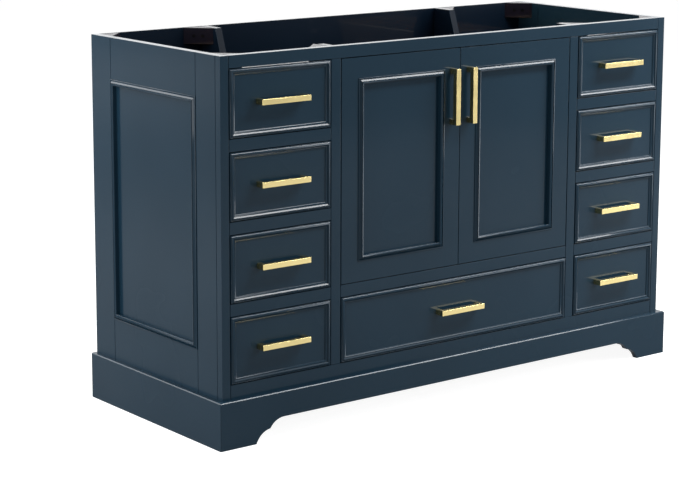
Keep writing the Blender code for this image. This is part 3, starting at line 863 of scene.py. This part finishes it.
def build_slide_member(drawer, word, face, outward, box):
    """The moving member: an angle along the box's lower edge, with a roller at its back end."""
    low, high = box
    front, back = low.y + ANGLE_FRONT_GAP, high.y - ANGLE_BACK_GAP
    thin = sorted((face, face + outward * ANGLE_SHEET))
    thin_ends = ((thin[0], front, low.z - ANGLE_DROP / 2), (thin[1], back, low.z + ANGLE_HEIGHT))
    under = sorted((face + outward * ANGLE_SHEET, face - outward * ANGLE_FOOT))
    under_ends = ((under[0], front, low.z - ANGLE_DROP), (under[1], back, low.z))
    parts = [
        board("angle", *thin_ends, PLATED, SHEET_EASE),
        board("angle", *under_ends, PLATED, 0.0),
    ]
    out = face + outward * MOVING_ROLLER_OUT
    axle = (out, high.y - ROLLER_BACK, low.z + MOVING_ROLLER_RISE)
    parts.append(cylinder("roller", axle, (1, 0, 0), *MOVING_ROLLER))
    fit_to(join(f"{drawer}_{word}_slide", parts), drawer, STEEL_SLOT)


def build_drawers():
    for drawer in DRAWERS:
        build_front(f"{drawer}_front", drawer)
        build_pull(f"{drawer}_pull", drawer)
        build_box(drawer)
    build_runners()


DOOR_STILE = 0.0475
DOOR_EASE = 0.0003
CUP_RADIUS = 0.0175
CUP_SIDES = 40
CUP_RIM = 0.0016
CUP_WALL = 0.0006
CUP_HOLLOW = 0.0085
EAR_HALF_WIDTH = 0.008
EAR_SPAN = (0.0160, 0.0300)  # from the cup's centre to the ear's two ends
EAR_SCREW = 0.0235           # from the cup's centre to the ear's screw
EAR_SCREW_RADIUS = 0.0036
EAR_SHEET = 0.0012
EAR_EASE = 0.0005
PLATE_SHEET = 0.004
PLATE_SPAN = (0.012, 0.046)  # behind the arm's front end
PLATE_OVER = 0.012           # how far the plate reaches above and below the arm
PLATE_SCREW_BACK = 0.029
PLATE_SCREW_OVER = 0.006
PLATE_SCREW_RADIUS = 0.0038
PLATE_EASE = 0.0006
ARM_SCREWS_BACK = (0.016, 0.036, 0.050)
ARM_CUT = 0.004              # off the arm's height at its top and bottom
ARM_INSET = 0.003            # how deep the arm sits over the plate
ARM_EASE = 0.0016
ARM_TAIL = 0.006             # length of the arm's narrow back end
ARM_NARROW = 0.6             # share of its depth that the arm keeps there


def build_hinge_cup(door, node):
    """The cup let into the door, with a flange that is screwed on above and below it."""
    low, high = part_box(node)
    centre = (low + high) / 2
    cup = cylinder("cup", centre, (0, 1, 0), CUP_RADIUS, high.y - low.y, CUP_SIDES)
    select_facing(cup, (0, 1, 0))
    bpy.ops.mesh.inset(thickness=CUP_RIM)
    bpy.ops.mesh.inset(thickness=CUP_WALL, depth=-CUP_HOLLOW)
    bpy.ops.object.mode_set(mode="OBJECT")
    parts = [cup]
    for z_way in (-1, 1):
        z_ends = sorted(centre.z + z_way * distance for distance in EAR_SPAN)
        ear_low = (centre.x - EAR_HALF_WIDTH, high.y, z_ends[0])
        ear_high = (centre.x + EAR_HALF_WIDTH, high.y + EAR_SHEET, z_ends[1])
        parts.append(board("ear", ear_low, ear_high, PLATED, EAR_EASE))
        screw = (centre.x, high.y + EAR_SHEET, centre.z + z_way * EAR_SCREW)
        parts.append(screw_head(screw, (0, 1, 0), EAR_SCREW_RADIUS))
    fit_to(join(f"{node}_fine", parts), door, STEEL_SLOT, node)


def build_hinge_arm(node, side):
    """The arm on its plate on the partition."""
    low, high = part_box(node)
    wall, tip = (high.x, low.x) if side > 0 else (low.x, high.x)
    plate_x = sorted((wall, wall - side * PLATE_SHEET))
    plate_low = (plate_x[0], low.y + PLATE_SPAN[0], low.z - PLATE_OVER)
    plate_high = (plate_x[1], low.y + PLATE_SPAN[1], high.z + PLATE_OVER)
    plate = board("plate", plate_low, plate_high, PLATED, PLATE_EASE)
    seat = wall - side * ARM_INSET
    arm_x = sorted((seat, tip))
    arm_ends = ((arm_x[0], low.y, low.z + ARM_CUT), (arm_x[1], high.y, high.z - ARM_CUT))
    arm = board("arm", *arm_ends, PLATED, ARM_EASE)
    for vertex in arm.data.vertices:
        if vertex.co.y > high.y - ARM_TAIL:
            vertex.co.x = seat + (vertex.co.x - seat) * ARM_NARROW
    middle_z = (low.z + high.z) / 2
    parts = [plate, arm]
    for distance in ARM_SCREWS_BACK:
        place = (tip, low.y + distance, middle_z)
        parts.append(screw_head(place, (-side, 0, 0), SMALL_SCREW_RADIUS))
    for z in (low.z - PLATE_SCREW_OVER, high.z + PLATE_SCREW_OVER):
        place = (wall - side * PLATE_SHEET, low.y + PLATE_SCREW_BACK, z)
        parts.append(screw_head(place, (-side, 0, 0), PLATE_SCREW_RADIUS))
    fit_to(join(f"{node}_fine", parts), "cabinet", STEEL_SLOT, node)


LINK_SEAT = 0.004            # how far the link's ends lie inside the arm and the cup
LINK_BOW = (0.010, 0.0035)   # the bow's place, away from the partition and behind the arm's end


def build_hinge(door, word, side):
    """A concealed hinge: a cup on the door, an arm on the partition, a curved link between."""
    cup_node = f"{door}_{word}_hinge_cup"
    arm_node = f"{door}_{word}_hinge_arm"
    build_hinge_cup(door, cup_node)
    build_hinge_arm(arm_node, side)
    cup_low, cup_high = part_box(cup_node)
    arm_low, arm_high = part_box(arm_node)
    z = (arm_low.z + arm_high.z) / 2
    start = Vector(((arm_low.x + arm_high.x) / 2, arm_low.y + LINK_SEAT, z))
    end = Vector(((cup_low.x + cup_high.x) / 2, cup_high.y - LINK_SEAT, z))
    bow = Vector((start.x - side * LINK_BOW[0], arm_low.y + LINK_BOW[1], z))
    link = bent_link(start, bow, end)
    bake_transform(link)
    link.name = f"{door}_{word}_hinge_link"


LINK_HALF_WIDTH = 0.0052
LINK_SHEET = 0.0016
LINK_STEPS = 12
LINK_HANDLE = 0.66           # share of the way to the bow at which the curve's handles lie


def bent_link(start, bow, end):
    """A flat curved link of the hinge, as a thickened ribbon along a curve."""
    deselect_all()
    bpy.ops.curve.primitive_bezier_curve_add(location=(0, 0, 0))
    obj = bpy.context.object
    curve = obj.data
    curve.resolution_u = LINK_STEPS
    curve.extrude = LINK_HALF_WIDTH
    first, last = curve.splines[0].bezier_points
    for point, place in ((first, start), (last, end)):
        point.handle_left_type = "FREE"
        point.handle_right_type = "FREE"
        point.co = place
        point.handle_left = place.lerp(bow, LINK_HANDLE)
        point.handle_right = place.lerp(bow, LINK_HANDLE)
    pick(obj)
    bpy.ops.object.convert(target="MESH")
    obj = bpy.context.object
    paint_with(obj, PLATED)
    apply_modifier(obj, "SOLIDIFY", thickness=LINK_SHEET, offset=0.0)
    smooth(obj)
    return obj


BUMPER_RADIUS = 0.0045
BUMPER_HEIGHT = 0.0012
BUMPER_SIDES = 20
BUMPER_EASE = 0.0004
BUMPER_X = 0.016             # from the line where the doors meet
BUMPER_END = 0.014           # from the door's top and bottom


def build_bumpers(door, side):
    """The soft bumpers on the door's back."""
    low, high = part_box(f"{door}_frame")
    bumpers = []
    for z in (low.z + BUMPER_END, high.z - BUMPER_END):
        place = (side * BUMPER_X, high.y + BUMPER_HEIGHT / 2, z)
        shape = (BUMPER_RADIUS, BUMPER_HEIGHT, BUMPER_SIDES, (BUMPER, BUMPER), BUMPER_EASE)
        bumpers.append(cylinder("bumper", place, (0, 1, 0), *shape))
    fit_to(join(f"{door}_bumpers", bumpers), door, PAINT_SLOT)


def build_pull_screws(door):
    """The screws of the pull, on the door's back."""
    back_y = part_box(f"{door}_frame")[1].y
    pull_low, pull_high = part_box(f"{door}_pull")
    pull_x = (pull_low.x + pull_high.x) / 2
    screws = []
    for z in (pull_low.z + PULL_SCREW_IN, pull_high.z - PULL_SCREW_IN):
        screws.append(screw_head((pull_x, back_y, z), (0, 1, 0), PULL_SCREW_RADIUS))
    fit_to(join(f"{door}_pull_screws", screws), door, STEEL_SLOT)


def build_doors():
    for word, side in (("left", -1), ("right", 1)):
        door = f"{word}_door"
        low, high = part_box(f"{door}_frame")
        low.y = FACE_Y
        name = f"{door}_moulded_frame"
        whole = moulded_frame(name, low, high, (0, -1, 0), DOOR_STILE, DOOR_EASE)
        fit_to(whole, door, PAINT_SLOT, f"{door}_frame")
        build_bumpers(door, side)
        fit_to(shaped_from(f"{door}_panel", 0.0), door, PAINT_SLOT, f"{door}_panel")
        build_pull(f"{door}_pull", door)
        build_pull_screws(door)
        for level in ("lower", "upper"):
            build_hinge(door, level, side)


# ---------------------------------------------------------------- studio


def add_lamp(name, place, target, size, radiance):
    """A softbox of a stated brightness, seen in reflections and not by the camera."""
    lamp = bpy.data.lights.new(name, "AREA")
    lamp.shape = "RECTANGLE"
    lamp.size, lamp.size_y = size
    lamp.energy = radiance * math.pi * size[0] * size[1]
    obj = bpy.data.objects.new(name, lamp)
    obj.location = place
    obj.rotation_euler = (Vector(target) - Vector(place)).to_track_quat("-Z", "Y").to_euler()
    obj.visible_camera = False
    bpy.context.scene.collection.objects.link(obj)


WHITE = rgb(1.0, 1.0, 1.0)
WORLD_STRENGTH = 0.25


def build_world():
    """Soft even light; white where the camera or a reflection looks past the floor."""
    world = bpy.data.worlds.new("studio")
    bpy.context.scene.world = world
    world.use_nodes = True
    nodes = world.node_tree.nodes
    links = world.node_tree.links
    background = nodes["Background"]
    background.inputs["Color"].default_value = WHITE
    path = nodes.new("ShaderNodeLightPath")
    seen = path.outputs["Is Camera Ray"]
    for kind in ("Is Glossy Ray", "Is Transmission Ray"):
        either = nodes.new("ShaderNodeMath")
        either.operation = "MAXIMUM"
        links.new(seen, either.inputs[0])
        links.new(path.outputs[kind], either.inputs[1])
        seen = either.outputs[0]
    mix = nodes.new("ShaderNodeMix")
    mix.data_type = "FLOAT"
    mix.inputs[2].default_value = WORLD_STRENGTH
    mix.inputs[3].default_value = 1.0
    links.new(seen, mix.inputs[0])
    links.new(mix.outputs[0], background.inputs["Strength"])


FLOOR_SIZE = 60.0
FLOOR_GREY = 0.30
FLOOR_SEEN = 0.92            # light added where the camera sees the floor
FLOOR_MIRRORED = 0.45        # light added where metal, glass or lacquer shows it


def build_floor():
    """A pale floor that keeps the cabinet's shadow; to the camera it ends in white."""
    deselect_all()
    bpy.ops.mesh.primitive_plane_add(size=1.0, location=(0, 0, 0))
    floor = bpy.context.object
    floor.scale = (FLOOR_SIZE, FLOOR_SIZE, 1.0)
    settle(floor, "studio_floor")
    finish = Finish("studio_floor", Roughness=0.9, Specular_IOR_Level=0.0, Emission_Color=WHITE)
    finish.surface("Base Color", rgb(FLOOR_GREY, FLOOR_GREY, FLOOR_GREY))
    kinds = ("Is Camera Ray", "Is Glossy Ray", "Is Transmission Ray")
    camera, glossy, transmission = [
        finish.node("ShaderNodeLightPath", output=kind) for kind in kinds
    ]
    glow = camera * FLOOR_SEEN + (glossy + transmission) * FLOOR_MIRRORED
    finish.surface("Emission Strength", glow)
    paint_with(floor, [finish.material])


def build_camera():
    data = bpy.data.cameras.new("camera")
    data.sensor_width = 36.0
    data.lens = 110.5
    data.shift_y = -0.1193
    camera = bpy.data.objects.new("camera", data)
    camera.location = (-3.1940, -3.9199, 1.4228)
    camera.rotation_euler = [math.radians(angle) for angle in (79.948, -0.140, -37.691)]
    bpy.context.scene.collection.objects.link(camera)
    bpy.context.scene.camera = camera


def build_studio():
    bpy.context.scene.view_settings.view_transform = "Standard"
    build_world()
    build_floor()
    build_camera()
    add_lamp("key_softbox", (-2.4, -4.2, 1.7), (0, 0, 0.4), (2.0, 2.0), 2.35)
    add_lamp("left_softbox", (-4.0, -0.4, 1.0), (-0.7, 0, 0.4), (2.0, 1.8), 7.9)
    add_lamp("left_floor_wash", (-1.7, 1.1, 1.2), (-1.7, 1.1, 0.0), (1.8, 2.2), 4.5)
    add_lamp("left_far_wash", (-4.0, 5.2, 1.4), (-4.0, 5.2, 0), (2.4, 2.6), 7.0)
    add_lamp("back_high_panel", (-1.6, 4.0, 2.6), (-0.6, 0, 0.4), (2.4, 1.2), 3.5)
    add_lamp("back_softbox", (3.0, 4.0, 2.4), (0, 0, 0.9), (5.0, 2.6), 1.6)
    add_lamp("right_panel", (2.9, -1.2, 0.62), (0, -0.2, 0.6), (1.2, 1.2), 9.0)
    add_lamp("top_softbox", (1.8, -1.32, 2.65), (1.8, -1.32, 0.0), (2.6, 0.66), 36.0)
    add_lamp("front_softbox", (3.0, -2.9, 1.6), (0.4, 0, 0.4), (1.4, 1.4), 11.0)


build_face_frame()
build_side("left", -1)
build_side("right", 1)
build_base()
build_carcass()
build_drawers()
build_doors()
build_studio()
